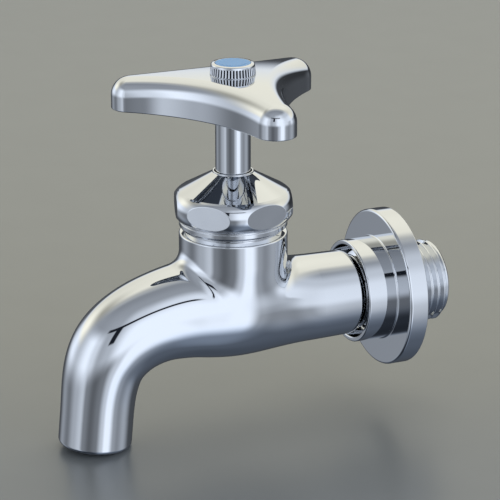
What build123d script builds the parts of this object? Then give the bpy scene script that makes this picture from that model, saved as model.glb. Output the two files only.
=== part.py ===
from build123d import *
import math
import os

os.makedirs("parts", exist_ok=True)

# Sizes are in millimetres. The origin is the centre of the wall flange's back face.
# +Y runs along the inlet into the wall and +Z runs up, parallel to the spindle.

# Spindle axis, shared running fit, and how far cores and cutters run past the faces they cross
spindle_y = -45.0
running_clearance = 0.05
overlap = 1.0
trim_gap = 0.01
spindle_axis = Location((0, spindle_y, 0))
upright_from_base = (Align.CENTER, Align.CENTER, Align.MIN)

# Barrel of the cast body
barrel_radius = 13.6
barrel_top = 20.6
barrel_edge_round = 0.45
foot_start = 1.0
foot_bottom = -10.4
body_blend = 3.8

# Leg between the barrel and the inlet nipple
leg_end_y = -13.9
leg_end_radius = 10.85
leg_end_chamfer = 0.35

# Inlet nipple with a G 1/2 parallel pipe thread
pipe_major_radius = 20.955 / 2
pipe_pitch = 1.814
pipe_thread_depth = 1.162
pipe_crest_width = 0.30
nipple_end_y = 11.5
nipple_end_chamfer = 1.1
pipe_relief_length = 2.0
pipe_relief_drop = 0.15

# Neck thread for the bonnet nut, 26 mm nominal with 20 threads to the inch
neck_major_radius = 12.9
neck_pitch = 1.27
neck_thread_depth = 0.81
neck_crest_width = 0.22
neck_top = 29.0
neck_relief_length = 0.55
neck_top_chamfer = 0.7
nut_thread_clearance = 0.05

# Leg and spout, one tube through stations: y, z, fall below level in degrees, outer radius
tube_stations = [
    (leg_end_y, 0.00, 0.0, leg_end_radius),
    (-20.5, 0.00, 0.0, 10.98),
    (-27.0, 0.00, 0.0, 11.10),
    (-33.5, 0.00, 0.0, 11.23),
    (-40.0, 0.05, -1.0, 11.38),
    (-46.0, 0.30, -3.0, 11.65),
    (-52.0, 0.95, -3.0, 12.00),
    (-57.5, 1.45, 3.0, 12.10),
    (-61.8, 1.15, 7.0, 11.75),
    (-65.3, 0.60, 11.0, 11.37),
    (-70.7, -1.10, 22.0, 10.95),
    (-75.0, -3.55, 36.0, 10.68),
    (-77.9, -6.35, 50.0, 10.42),
    (-79.9, -9.90, 66.0, 10.00),
    (-80.95, -13.6, 77.0, 9.65),
    (-81.60, -17.5, 82.5, 9.35),
    (-82.10, -22.1, 84.7, 9.20),
]
tip_length = 8.3
tip_bore_radius = 6.9
tip_edge_round = 1.1

# Waterway from the inlet to under the seat
inlet_bore_radius = 6.5
inlet_bore_end_y = -24.0
passage_bend_y = -34.0
passage_end_y = -40.5
passage_half_width = 6.8
passage_half_height = 3.3
passage_centre_z = -5.3
lower_chamber_radius = 9.2
lower_chamber_bottom = -8.9
lower_chamber_round = 6.0

# Partition and raised valve seat
partition_bottom = -2.0
partition_top = 0.8
seat_height = 1.2
seat_bore_radius = 5.5
seat_lip_radius = 6.7
seat_lip_width = 0.5
seat_lip_root = 0.9
seat_lip_sink = 0.2

# Chamber over the seat and the way into the spout
upper_chamber_radius = 10.0
upper_chamber_top = 13.2
waterway_stations = [
    (-48.0, 7.00, 0.0, 5.60),
    (-57.0, 6.20, 12.0, 5.90),
    (-64.0, 3.40, 20.0, 6.20),
    (-70.3, 0.10, 28.0, 6.40),
    (-75.2, -3.60, 42.0, 6.50),
    (-78.6, -8.20, 62.0, 6.60),
    (-80.5, -13.6, 76.0, 6.70),
    (-81.55, -18.0, 82.5, 6.85),
    (-82.10, -22.1, 84.7, 6.90),
]

# Coarse spindle thread, right-handed, cut in the neck
screw_major_radius = 8.8
screw_pitch = 2.5
screw_thread_depth = 1.05
screw_crest_width = 0.95
screw_flank_run = 0.30
screw_clearance = 0.10

# Valve jumper: brass stem and cup, rubber washer, clamp washer and nut
seat_rubber_thickness = 3.0
jumper_cup_radius = 7.6
jumper_cup_wall = 0.7
jumper_cup_rim = 1.2
jumper_plate_thickness = 2.0
jumper_stem_radius = 2.9
jumper_stem_length = 11.0
jumper_stud_radius = 1.9
jumper_end_gap = 0.05
jumper_plate_chamfer = 0.4
jumper_stem_chamfer = 0.5
clamp_washer_radius = 4.3
clamp_washer_thickness = 0.5
jumper_nut_flats = 7.0
jumper_nut_thickness = 2.0
stud_overhang = 0.5

# Spindle
spindle_radius = 4.4
screw_length = 12.0
socket_depth = 11.6
spindle_shoulder_z = 52.4
spindle_top_gap = 0.8
serration_count = 20
serration_outer_radius = 3.9
serration_depth = 0.4
serration_clearance = 0.03
screw_end_chamfer = 0.6

# Gland packing and its brass washer, in a recess at the top of the neck
recess_radius = 9.7
recess_floor = 26.0
recess_floor_radius = 9.0
recess_cone_height = 1.1
packing_outer_radius = 9.55
packing_grip = 0.03
packing_top = 31.2
packing_top_radius = 7.2
packing_cone_height = 1.6
gland_washer_radius = 9.2
gland_washer_bore = 4.75
gland_washer_thickness = 1.0

# Bonnet nut: a domed hexagon cap with a conical roof
nut_bottom = 22.3
nut_lip_top = 23.5
nut_lip_radius = 13.55
nut_groove_radius = 13.3
nut_groove_height = 0.35
nut_widest_radius = 15.5
nut_widest_z = 27.6
nut_shoulder_radius = 13.45
nut_shoulder_z = 31.45
nut_lip_round = 0.3
nut_roof_radius = 5.1
nut_top = 36.4
nut_rim_drop = 0.35
nut_flats = 28.7
nut_flats_turn = 12.0
nut_side_count = 6
flat_cutter_depth = 4.0
flat_cutter_width = 40.0
flat_cutter_height = 12.0
nut_bore_radius = 4.7
nut_pocket_radius = 9.85
nut_pocket_roof = 32.25
nut_step_gap = 0.3

# Wall flange: a polished disc with a collar that hides the end of the leg
flange_radius = 20.25
flange_thickness = 5.1
flange_front_round = 0.7
flange_back_round = 0.3
collar_radius = 13.25
collar_front_y = -13.1
collar_bore_radius = 12.0
collar_bore_end_y = -4.6
collar_rim_round = 0.4
collar_root_round = 0.4
flange_bore_clearance = 0.06
back_recess_outer = 18.2
back_recess_inner = 12.6
back_recess_depth = 1.5

# Three-armed handle, a thin die-cast shell with a crowned top and a serrated boss
handle_mouth_depth = 0.8
handle_height = 9.25
handle_crown_radius = 256.0
handle_crown_rise = 0.08
handle_waist = 13.2
handle_arm_reach = 25.2
handle_tip_radius = 5.0
handle_turn = 0.6
handle_top_round = 4.6
handle_bottom_round = 0.35
handle_wall = 2.2
handle_roof = 3.2
handle_boss_radius = 7.2
handle_mouth_radius = 4.6
arm_count = 3

# Knurled cap screw with a blue index disc
cap_radius = 5.65
cap_height = 2.9
cap_chamfer = 0.7
cap_flute_count = 47
cap_flute_depth = 0.35
cap_flute_top = 2.15
cap_flute_bottom = 0.15
index_radius = 4.4
index_thickness = 0.6
index_clearance = 0.05
cap_screw_major_radius = 2.0
cap_screw_pitch = 0.7
cap_screw_depth = 0.43
cap_screw_crest_width = 0.10
cap_screw_length = 9.5
cap_screw_clearance = 0.04
cap_screw_hole_extra = 1.5
handle_bottom = spindle_shoulder_z - handle_mouth_depth
handle_top = handle_bottom + handle_height
spindle_top_z = handle_top - spindle_top_gap

# Threads: how far a ridge is sunk in its core, turns cut off at the ends, and flank angles
thread_sink = 0.12
spare_turns = 2
whitworth_half_angle = math.radians(27.5)
metric_half_angle = math.radians(30)


def upright(radius, bottom, top):
    """A cylinder about Z between two heights."""
    return Pos(0, 0, bottom) * Cylinder(radius, top - bottom, align=upright_from_base)


def turned(points):
    """A solid of revolution about Z from (radius, z) corners."""
    return revolve(Plane.XZ * make_face(Polyline(*points, close=True)), Axis.Z)


def threaded_rod(major, depth, pitch, crest_width, flank_run, turns, clearance=0.0):
    """A right-handed threaded rod on z = 0, with every face moved outward by the clearance."""
    minor = major - depth
    slope = flank_run / depth
    inner = minor - thread_sink
    outer = major + clearance
    inner_half = crest_width / 2 + slope * (major - inner) + clearance
    outer_half = crest_width / 2 + clearance
    corners = [(inner, -inner_half), (outer, -outer_half), (outer, outer_half), (inner, inner_half)]
    path = Helix(pitch=pitch, height=pitch * turns, radius=minor)
    section = Plane.XZ * make_face(Polyline(*corners, close=True))
    ridge = sweep(section, path=path, is_frenet=True)
    return upright(minor + clearance, -pitch, pitch * (turns + 1)) + ridge


def ring_section(y, z, fall, half_width, half_height):
    """An ellipse square to a path in the plane x = 0 that falls below level as it leaves the wall."""
    angle = math.radians(fall)
    plane = Plane(origin=(0, y, z), x_dir=(1, 0, 0), z_dir=(0, -math.cos(angle), -math.sin(angle)))
    return plane * Ellipse(half_width, half_height)


def tube_through(stations):
    """A smooth round bar through stations given as y, z, fall and radius."""
    return loft(Sketch() + [ring_section(y, z, fall, radius, radius) for y, z, fall, radius in stations])


def tip_cylinder(radius, start, end):
    """A cylinder on the spout's tip axis, measured from the last station of the tube."""
    y, z, fall, _ = tube_stations[-1]
    angle = math.radians(fall)
    away = Vector(0, -math.cos(angle), -math.sin(angle))
    plane = Plane(origin=Vector(0, y, z) + away * start, x_dir=(1, 0, 0), z_dir=away)
    return plane * Cylinder(radius, end - start, align=upright_from_base)


def along_inlet(shape):
    """Lay a shape made about Z along the inlet, its +Z end facing into the wall."""
    return Rot(-90, 0, 0) * shape


def serrated_rod(clearance, bottom, top):
    """The serrated end of the spindle between two heights."""
    outer = serration_outer_radius + clearance
    inner = outer - serration_depth
    points = []
    for tooth in range(serration_count):
        for share, radius in ((-0.25, outer), (0.0, outer), (0.25, inner), (0.5, inner)):
            angle = 2 * math.pi * (tooth + share) / serration_count
            points.append((radius * math.cos(angle), radius * math.sin(angle)))
    outline = make_face(Polyline(*points, close=True))
    return extrude(Pos(0, 0, bottom) * outline, top - bottom)


# Tap body: outer casting
barrel_outline = [
    (0, foot_start),
    (barrel_radius, foot_start),
    (barrel_radius, barrel_top),
    (0, barrel_top),
]
barrel = fillet(turned(barrel_outline).edges().sort_by(Axis.Z)[-1], barrel_edge_round)
foot_curve = EllipticalCenterArc(
    (0, foot_start), barrel_radius, foot_start - foot_bottom, start_angle=270, arc_size=90
)
foot_lines = Polyline((barrel_radius, foot_start), (0, foot_start), (0, foot_bottom))
foot = revolve(Plane.XZ * make_face(Curve() + [foot_curve, foot_lines]), Axis.Z)
casting = spindle_axis * (barrel + foot) + tube_through(tube_stations)
join_length = barrel_radius / 2
join_reach = 1.5 * barrel_radius
joins = []
for edge in casting.edges().filter_by(GeomType.BSPLINE):
    box = edge.bounding_box()
    beside_barrel = box.max.Y < spindle_y + join_reach and box.min.Y > spindle_y - join_reach
    if beside_barrel and edge.length > join_length:
        joins.append(edge)
casting = casting.fillet(body_blend, joins)
leg_rim = [edge for edge in casting.edges() if abs(edge.center().Y - leg_end_y) < trim_gap]
casting = casting.chamfer(leg_end_chamfer, None, leg_rim)
tip = tip_cylinder(tube_stations[-1][3], 0, tip_length)
tip = fillet(tip.edges().filter_by(GeomType.CIRCLE).sort_by(Axis.Z)[0], tip_edge_round)
casting = casting + tip

# Tap body: neck with its thread
neck_minor_radius = neck_major_radius - neck_thread_depth
neck_flank_run = neck_thread_depth * math.tan(whitworth_half_angle)
neck_turns = math.ceil((neck_top - barrel_top) / neck_pitch) + spare_turns
neck_thread_start = barrel_top - neck_pitch


def neck_rod(clearance):
    """The neck's thread as a rod, in place along Z."""
    rod = threaded_rod(
        neck_major_radius, neck_thread_depth, neck_pitch, neck_crest_width, neck_flank_run, neck_turns,
        clearance,
    )
    return Pos(0, 0, neck_thread_start) * rod


def trimmed_rod(rod, radius, bottom, top, end_chamfer):
    """A threaded rod cut to length, with its far end chamfered; the far end may be the lower one."""
    room = upright(radius, min(bottom, top), max(bottom, top))
    ends = room.edges().filter_by(GeomType.CIRCLE).sort_by(Axis.Z)
    room = chamfer(ends[-1] if top > bottom else ends[0], end_chamfer)
    return rod & room


neck_thread_bottom = barrel_top + neck_relief_length
neck_room_radius = neck_major_radius + trim_gap
neck = trimmed_rod(neck_rod(0), neck_room_radius, neck_thread_bottom, neck_top, neck_top_chamfer)
neck = neck + upright(neck_minor_radius, barrel_top - overlap, neck_top - overlap)

# Tap body: inlet nipple with its thread
pipe_flank_run = pipe_thread_depth * math.tan(whitworth_half_angle)
nipple_length = nipple_end_y - leg_end_y
pipe_turns = math.ceil(nipple_length / pipe_pitch) + spare_turns
pipe_rod = threaded_rod(
    pipe_major_radius, pipe_thread_depth, pipe_pitch, pipe_crest_width, pipe_flank_run, pipe_turns
)
pipe_rod = Pos(0, 0, leg_end_y - pipe_pitch) * pipe_rod
nipple = trimmed_rod(
    pipe_rod, pipe_major_radius + trim_gap, leg_end_y + pipe_relief_length, nipple_end_y, nipple_end_chamfer
)
relief_radius = pipe_major_radius - pipe_thread_depth - pipe_relief_drop
nipple = nipple + upright(relief_radius, leg_end_y - overlap, leg_end_y + pipe_relief_length + overlap)
nipple = along_inlet(nipple)

# Tap body: waterways
inlet_bore = along_inlet(upright(inlet_bore_radius, inlet_bore_end_y, nipple_end_y + overlap))
passage = loft(Sketch() + [
    ring_section(inlet_bore_end_y, 0, 0, inlet_bore_radius, inlet_bore_radius),
    ring_section(passage_bend_y, passage_centre_z, 0, passage_half_width, passage_half_height),
    ring_section(passage_end_y, passage_centre_z, 0, passage_half_width, passage_half_height),
])
lower_chamber = upright(lower_chamber_radius, lower_chamber_bottom, partition_bottom)
chamber_floor_edge = lower_chamber.edges().filter_by(GeomType.CIRCLE).sort_by(Axis.Z)[0]
lower_chamber = fillet(chamber_floor_edge, lower_chamber_round)
seat_top = partition_top + seat_height
upper_chamber = upright(upper_chamber_radius, partition_top, upper_chamber_top)
seat_lip = turned([
    (seat_bore_radius - overlap, partition_top - seat_lip_sink),
    (seat_lip_radius + seat_lip_root, partition_top - seat_lip_sink),
    (seat_bore_radius + seat_lip_width, seat_top),
    (seat_bore_radius - overlap, seat_top),
])
upper_chamber = upper_chamber - seat_lip
seat_bore = upright(seat_bore_radius, partition_bottom - overlap, seat_top + overlap)

# Spindle thread, shared by the neck and the spindle
screw_turns = math.ceil((recess_floor - upper_chamber_top) / screw_pitch) + spare_turns
spindle_end_z = seat_top + seat_rubber_thickness + jumper_plate_thickness + jumper_end_gap
screw_datum = spindle_end_z - spare_turns * screw_pitch
turns_to_chamber = math.floor((upper_chamber_top - screw_datum) / screw_pitch)
female_start = screw_datum + screw_pitch * (turns_to_chamber - 1)


def screw_rod(start, turns, clearance):
    """The coarse spindle thread from a height that is a whole number of pitches from its datum."""
    rod = threaded_rod(
        screw_major_radius, screw_thread_depth, screw_pitch, screw_crest_width, screw_flank_run, turns,
        clearance,
    )
    return Pos(0, 0, start) * rod


female_screw = screw_rod(female_start, screw_turns, screw_clearance)
female_screw = female_screw & upright(recess_radius, upper_chamber_top - overlap, recess_floor + overlap)
gland_recess = turned([
    (0, recess_floor),
    (recess_floor_radius, recess_floor),
    (recess_radius, recess_floor + recess_cone_height),
    (recess_radius, neck_top + overlap),
    (0, neck_top + overlap),
])
barrel_hollow = spindle_axis * (lower_chamber + seat_bore + upper_chamber)
tap_body = casting + spindle_axis * neck + nipple
tap_body = tap_body - inlet_bore - passage - barrel_hollow
tap_body = tap_body - spindle_axis * female_screw - spindle_axis * gland_recess
tap_body = tap_body - tube_through(waterway_stations) - tip_cylinder(tip_bore_radius, 0, tip_length + overlap)

# Spindle: coarse thread, plain stem, serrated end and a tapped hole for the cap screw
spindle_head_top = spindle_end_z + screw_length
spindle_head = screw_rod(screw_datum, math.ceil(screw_length / screw_pitch) + 2 * spare_turns, 0)
head_room = upright(screw_major_radius + trim_gap, spindle_end_z, spindle_head_top)
head_room = chamfer(head_room.edges().filter_by(GeomType.CIRCLE), screw_end_chamfer)
spindle = spindle_head & head_room
spindle = spindle + upright(spindle_radius, spindle_head_top - overlap, spindle_shoulder_z)
spindle = spindle + serrated_rod(0, spindle_shoulder_z - overlap, spindle_top_z)
socket_radius = jumper_stem_radius + running_clearance
spindle = spindle - upright(socket_radius, spindle_end_z - overlap, spindle_end_z + socket_depth)


def cap_rod(clearance, turns):
    """The cap screw's thread as a rod that ends at the top of the handle."""
    flank_run = cap_screw_depth * math.tan(metric_half_angle)
    rod = threaded_rod(
        cap_screw_major_radius, cap_screw_depth, cap_screw_pitch, cap_screw_crest_width, flank_run, turns,
        clearance,
    )
    return Pos(0, 0, handle_top - cap_screw_pitch * turns) * rod


cap_turns = math.ceil((cap_screw_length + cap_screw_hole_extra) / cap_screw_pitch) + 1
cap_hole_bottom = handle_top - cap_screw_length - cap_screw_hole_extra
cap_hole_room = upright(cap_screw_major_radius + overlap, cap_hole_bottom, spindle_top_z + overlap)
cap_hole = cap_rod(cap_screw_clearance, cap_turns) & cap_hole_room
spindle = spindle_axis * (spindle - cap_hole)

# Valve jumper: stem, plate and cup, turned from one bar, with a stud for the washer
rubber_top = seat_top + seat_rubber_thickness
jumper_top = rubber_top + jumper_plate_thickness
clamp_top = seat_top
clamp_bottom = clamp_top - clamp_washer_thickness
jumper_nut_bottom = clamp_bottom - jumper_nut_thickness
jumper = upright(jumper_cup_radius, rubber_top - jumper_cup_rim, jumper_top)
jumper = jumper - upright(jumper_cup_radius - jumper_cup_wall, rubber_top - jumper_cup_rim, rubber_top)
jumper = chamfer(jumper.edges().filter_by(GeomType.CIRCLE).sort_by(Axis.Z)[-1], jumper_plate_chamfer)
stem_top = jumper_top + jumper_stem_length
stem = upright(jumper_stem_radius, jumper_top - overlap, stem_top)
stem = chamfer(stem.edges().filter_by(GeomType.CIRCLE).sort_by(Axis.Z)[-1], jumper_stem_chamfer)
stud = upright(jumper_stud_radius, jumper_nut_bottom - stud_overhang, rubber_top + overlap)
valve_jumper = spindle_axis * (jumper + stem + stud)

rubber_radius = jumper_cup_radius - jumper_cup_wall
stud_hole = upright(jumper_stud_radius, jumper_nut_bottom - overlap, rubber_top + overlap)
seat_rubber = spindle_axis * (upright(rubber_radius, seat_top, rubber_top) - stud_hole)
clamp_washer = spindle_axis * (upright(clamp_washer_radius, clamp_bottom, clamp_top) - stud_hole)
nut_outline = RegularPolygon(jumper_nut_flats / 2, nut_side_count, major_radius=False)
jumper_nut = extrude(Pos(0, 0, jumper_nut_bottom) * nut_outline, jumper_nut_thickness)
jumper_nut = spindle_axis * (jumper_nut - stud_hole)

# Gland packing and washer
packing_bore = spindle_radius + packing_grip
gland_packing = turned([
    (packing_bore, recess_floor),
    (recess_floor_radius, recess_floor),
    (packing_outer_radius, recess_floor + recess_cone_height),
    (packing_outer_radius, packing_top - packing_cone_height),
    (packing_top_radius, packing_top),
    (packing_bore, packing_top),
])
gland_packing = spindle_axis * gland_packing
gland_washer_top = packing_top + gland_washer_thickness
gland_washer = upright(gland_washer_radius, packing_top, gland_washer_top)
gland_washer = gland_washer - upright(gland_washer_bore, packing_top - overlap, gland_washer_top + overlap)
gland_washer = spindle_axis * gland_washer

# Bonnet nut
nut_side_bottom = nut_lip_top + nut_groove_height
nut_side = ThreePointArc(
    (nut_groove_radius, nut_side_bottom),
    (nut_widest_radius, nut_widest_z),
    (nut_shoulder_radius, nut_shoulder_z),
)
nut_lines = Polyline(
    (nut_shoulder_radius, nut_shoulder_z),
    (nut_roof_radius, nut_top - nut_rim_drop),
    (nut_roof_radius, nut_top),
    (0, nut_top),
    (0, nut_bottom),
    (nut_lip_radius, nut_bottom),
    (nut_lip_radius, nut_lip_top),
    (nut_groove_radius, nut_lip_top),
    (nut_groove_radius, nut_side_bottom),
)
nut_blank = revolve(Plane.XZ * make_face(Curve() + [nut_side, nut_lines]), Axis.Z)
nut_circles = nut_blank.edges().filter_by(GeomType.CIRCLE)
lip_edges = [edge for edge in nut_circles if abs(edge.center().Z - nut_bottom) < trim_gap]
nut_blank = fillet(lip_edges, nut_lip_round)
flat_cutter = Box(flat_cutter_depth, flat_cutter_width, flat_cutter_height)
flat_cutter = Pos((nut_flats + flat_cutter_depth) / 2, 0, nut_widest_z) * flat_cutter
for side in range(nut_side_count):
    nut_blank = nut_blank - Rot(0, 0, nut_flats_turn + 360 / nut_side_count * side) * flat_cutter
nut_thread = neck_rod(nut_thread_clearance)
nut_thread = nut_thread & upright(neck_major_radius + overlap, nut_bottom - overlap, neck_top + nut_step_gap)
bonnet_nut = nut_blank - nut_thread
bonnet_nut = bonnet_nut - upright(nut_pocket_radius, nut_bottom, nut_pocket_roof)
bonnet_nut = bonnet_nut - upright(nut_bore_radius, nut_bottom, nut_top + overlap)
bonnet_nut = spindle_axis * bonnet_nut

# Wall flange
flange_disc = upright(flange_radius, -flange_thickness, 0)
flange_disc = fillet(flange_disc.edges().filter_by(GeomType.CIRCLE).sort_by(Axis.Z)[0], flange_front_round)
flange_disc = fillet(flange_disc.edges().filter_by(GeomType.CIRCLE).sort_by(Axis.Z)[-1], flange_back_round)
collar = upright(collar_radius, collar_front_y, -flange_thickness + overlap)
wall_flange = flange_disc + collar
wall_flange = wall_flange - upright(collar_bore_radius, collar_front_y - overlap, collar_bore_end_y)
flange_bore_radius = pipe_major_radius + flange_bore_clearance
wall_flange = wall_flange - upright(flange_bore_radius, collar_front_y - overlap, overlap)
back_recess = upright(back_recess_outer, -back_recess_depth, overlap)
back_recess = back_recess - upright(back_recess_inner, -back_recess_depth - overlap, 2 * overlap)
wall_flange = wall_flange - back_recess
flange_circles = wall_flange.edges().filter_by(GeomType.CIRCLE)
front_rims = [edge for edge in flange_circles if abs(edge.center().Z - collar_front_y) < trim_gap]
wall_flange = fillet(front_rims, collar_rim_round)
collar_roots = []
for edge in wall_flange.edges().filter_by(GeomType.CIRCLE):
    on_front = abs(edge.center().Z + flange_thickness) < trim_gap
    if on_front and abs(edge.radius - collar_radius) < trim_gap:
        collar_roots.append(edge)
wall_flange = fillet(collar_roots, collar_root_round)
wall_flange = along_inlet(wall_flange)

# Handle outline: round arm ends joined by long hollow curves
side_radius = (
    handle_waist ** 2 + handle_arm_reach ** 2 - handle_waist * handle_arm_reach - handle_tip_radius ** 2
) / (handle_arm_reach + 2 * handle_tip_radius - 2 * handle_waist)


def polar(radius, degrees):
    """A point in the plan from its radius and direction."""
    return Vector(radius * math.cos(math.radians(degrees)), radius * math.sin(math.radians(degrees)))


def handle_outline(inset):
    """The handle's plan, moved inward by the inset."""
    pieces = []
    tip_radius = handle_tip_radius - inset
    for arm in range(arm_count):
        direction = 360 / arm_count * arm
        centre = polar(handle_arm_reach, direction)
        joins = []
        for side in (-180 / arm_count, 180 / arm_count):
            hollow_centre = polar(handle_waist + side_radius, direction + side)
            joins.append(centre + (hollow_centre - centre).normalized() * tip_radius)
        pieces.append(ThreePointArc(joins[0], polar(handle_arm_reach + tip_radius, direction), joins[1]))
        next_direction = direction + 360 / arm_count
        hollow_direction = direction + 180 / arm_count
        hollow_centre = polar(handle_waist + side_radius, hollow_direction)
        next_centre = polar(handle_arm_reach, next_direction)
        next_join = next_centre + (hollow_centre - next_centre).normalized() * tip_radius
        pieces.append(ThreePointArc(joins[1], polar(handle_waist - inset, hollow_direction), next_join))
    return make_face(Curve() + pieces)


handle = extrude(Pos(0, 0, handle_bottom) * handle_outline(0), handle_height)
crown_centre_z = handle_top + handle_crown_rise - handle_crown_radius
handle = handle & Pos(0, 0, crown_centre_z) * Sphere(handle_crown_radius)
crown = handle.faces().filter_by(GeomType.SPHERE)[0]
handle = fillet(crown.outer_wire().edges(), handle_top_round)
handle = fillet(handle.faces().sort_by(Axis.Z)[0].edges(), handle_bottom_round)
hollow = extrude(Pos(0, 0, handle_bottom) * handle_outline(handle_wall), handle_height - handle_roof)
hollow = fillet(hollow.faces().sort_by(Axis.Z)[-1].edges(), handle_top_round - handle_wall)
hollow = hollow - upright(handle_boss_radius, handle_bottom - overlap, handle_top)
handle = handle - hollow
handle = handle - upright(handle_mouth_radius, handle_bottom - overlap, spindle_shoulder_z)
handle = Rot(0, 0, handle_turn) * handle
handle = handle - serrated_rod(serration_clearance, spindle_shoulder_z - overlap, handle_top + overlap)
handle = spindle_axis * handle

# Cap screw and index disc
cap_top = handle_top + cap_height
cap_head = upright(cap_radius, handle_top, cap_top)
cap_head = chamfer(cap_head.edges().filter_by(GeomType.CIRCLE).sort_by(Axis.Z)[-1], cap_chamfer)
flute_width = math.pi * cap_radius / cap_flute_count
flute = Box(2 * cap_flute_depth, flute_width, cap_flute_top - cap_flute_bottom, align=upright_from_base)
flute = Pos(cap_radius, 0, handle_top + cap_flute_bottom) * flute
flutes = [Rot(0, 0, 360 / cap_flute_count * number) * flute for number in range(cap_flute_count)]
cap_head = cap_head - flutes
cap_head = cap_head - upright(index_radius + index_clearance, cap_top - index_thickness, cap_top + overlap)
cap_room_radius = cap_screw_major_radius + trim_gap
cap_end = handle_top - cap_screw_length
cap_shank = trimmed_rod(cap_rod(0, cap_turns), cap_room_radius, handle_top, cap_end, cap_screw_depth)
cap_core = upright(cap_screw_major_radius - cap_screw_depth, handle_top - overlap, handle_top + overlap)
cap_screw = spindle_axis * (cap_head + cap_shank + cap_core)
index_disc = spindle_axis * upright(index_radius, cap_top - index_thickness, cap_top)

pieces = {
    "tap_body": tap_body,
    "wall_flange": wall_flange,
    "bonnet_nut": bonnet_nut,
    "gland_washer": gland_washer,
    "gland_packing": gland_packing,
    "spindle": spindle,
    "valve_jumper": valve_jumper,
    "seat_rubber": seat_rubber,
    "clamp_washer": clamp_washer,
    "jumper_nut": jumper_nut,
    "handle": handle,
    "cap_screw": cap_screw,
    "index_disc": index_disc,
}
for name, shape in pieces.items():
    export_step(shape, f"parts/{name}.step")
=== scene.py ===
import math

import bpy
import numpy as np
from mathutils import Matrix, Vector


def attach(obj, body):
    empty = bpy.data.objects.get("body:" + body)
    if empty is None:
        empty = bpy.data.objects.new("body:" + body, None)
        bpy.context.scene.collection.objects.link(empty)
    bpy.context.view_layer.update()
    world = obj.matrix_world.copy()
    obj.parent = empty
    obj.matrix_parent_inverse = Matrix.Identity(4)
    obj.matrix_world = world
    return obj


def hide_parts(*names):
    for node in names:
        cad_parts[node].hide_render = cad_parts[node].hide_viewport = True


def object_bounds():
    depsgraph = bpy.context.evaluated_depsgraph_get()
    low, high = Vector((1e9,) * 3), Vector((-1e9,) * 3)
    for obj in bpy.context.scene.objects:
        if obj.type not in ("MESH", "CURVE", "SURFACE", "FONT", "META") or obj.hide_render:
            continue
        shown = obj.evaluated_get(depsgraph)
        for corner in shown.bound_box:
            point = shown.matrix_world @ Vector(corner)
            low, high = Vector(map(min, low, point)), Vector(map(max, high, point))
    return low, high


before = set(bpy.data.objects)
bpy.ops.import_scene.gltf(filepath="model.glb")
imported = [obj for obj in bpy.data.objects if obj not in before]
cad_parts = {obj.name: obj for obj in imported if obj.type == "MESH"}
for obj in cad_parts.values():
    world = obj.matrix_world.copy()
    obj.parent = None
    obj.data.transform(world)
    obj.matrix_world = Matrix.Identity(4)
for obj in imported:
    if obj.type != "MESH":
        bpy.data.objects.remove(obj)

cad_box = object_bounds()


# Camera. The photograph is taken from the tap's left front and a little above it,
# through a long lens, with the barrel just left of the middle of the picture.
view_turn, view_rise = math.radians(66.3), math.radians(18.6)
view_distance, view_shift = 0.62, 0.0042
aim_height = 0.01538


def way_out(turn, rise):
    """The way from the tap to what lies at a turn round Z and a rise above level, in radians."""
    level = math.cos(rise)
    return Vector((math.sin(turn) * level, -math.cos(turn) * level, math.sin(rise)))


view_back = way_out(view_turn, view_rise)
view_right = Vector((math.cos(view_turn), math.sin(view_turn), 0.0))
view_aim = Vector((0.0, -0.045, aim_height)) + view_shift * view_right
camera_data = bpy.data.cameras.new("camera")
camera_data.lens = 178.2
camera_data.clip_start = 0.01
camera = bpy.data.objects.new("camera", camera_data)
camera.location = view_aim + view_distance * view_back
camera.rotation_euler = view_back.to_track_quat("Z", "Y").to_euler()
bpy.context.scene.collection.objects.link(camera)
bpy.context.scene.camera = camera


# Tap body. One brass casting: barrel, leg and spout run into each other with soft
# fillets, then it is ground, polished and chromed. The leg's end, the spout's mouth,
# the neck and the inlet nipple are turned, and their threads are cut. Millimetres.
spindle_y = -45.0
barrel_radius, barrel_top = 13.6, 20.6
foot_start, foot_depth = 2.5, 11.2
join_round = 3.8
melt_width, melt_shrink = 12.0, 1.1
melt_start, melt_end = 14.5, 4.0
tube_line = np.array([
    (-13.9, 0.00, 0.0, 10.85), (-20.5, 0.00, 0.0, 10.98), (-27.0, 0.00, 0.0, 11.10),
    (-33.5, 0.00, 0.0, 11.23), (-40.0, 0.05, -1.0, 11.38), (-46.0, 0.30, -3.0, 11.65),
    (-52.0, 0.95, -3.0, 12.00), (-57.5, 1.45, 3.0, 12.10), (-61.8, 1.15, 7.0, 11.75),
    (-65.3, 0.60, 11.0, 11.37), (-70.7, -1.10, 22.0, 10.95), (-75.0, -3.55, 36.0, 10.68),
    (-77.9, -6.35, 50.0, 10.42), (-79.9, -9.90, 66.0, 10.00), (-80.95, -13.6, 77.0, 9.65),
    (-81.60, -17.5, 82.5, 9.35), (-82.10, -22.1, 84.7, 9.20),
])
water_line = np.array([
    (-48.0, 7.00, 0.0, 5.60), (-57.0, 6.20, 12.0, 5.90), (-64.0, 3.40, 20.0, 6.20),
    (-70.3, 0.10, 28.0, 6.40), (-75.2, -3.60, 42.0, 6.50), (-78.6, -8.20, 62.0, 6.60),
    (-80.5, -13.6, 76.0, 6.70), (-81.55, -18.0, 82.5, 6.85), (-82.10, -22.1, 84.7, 6.90),
])


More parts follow.
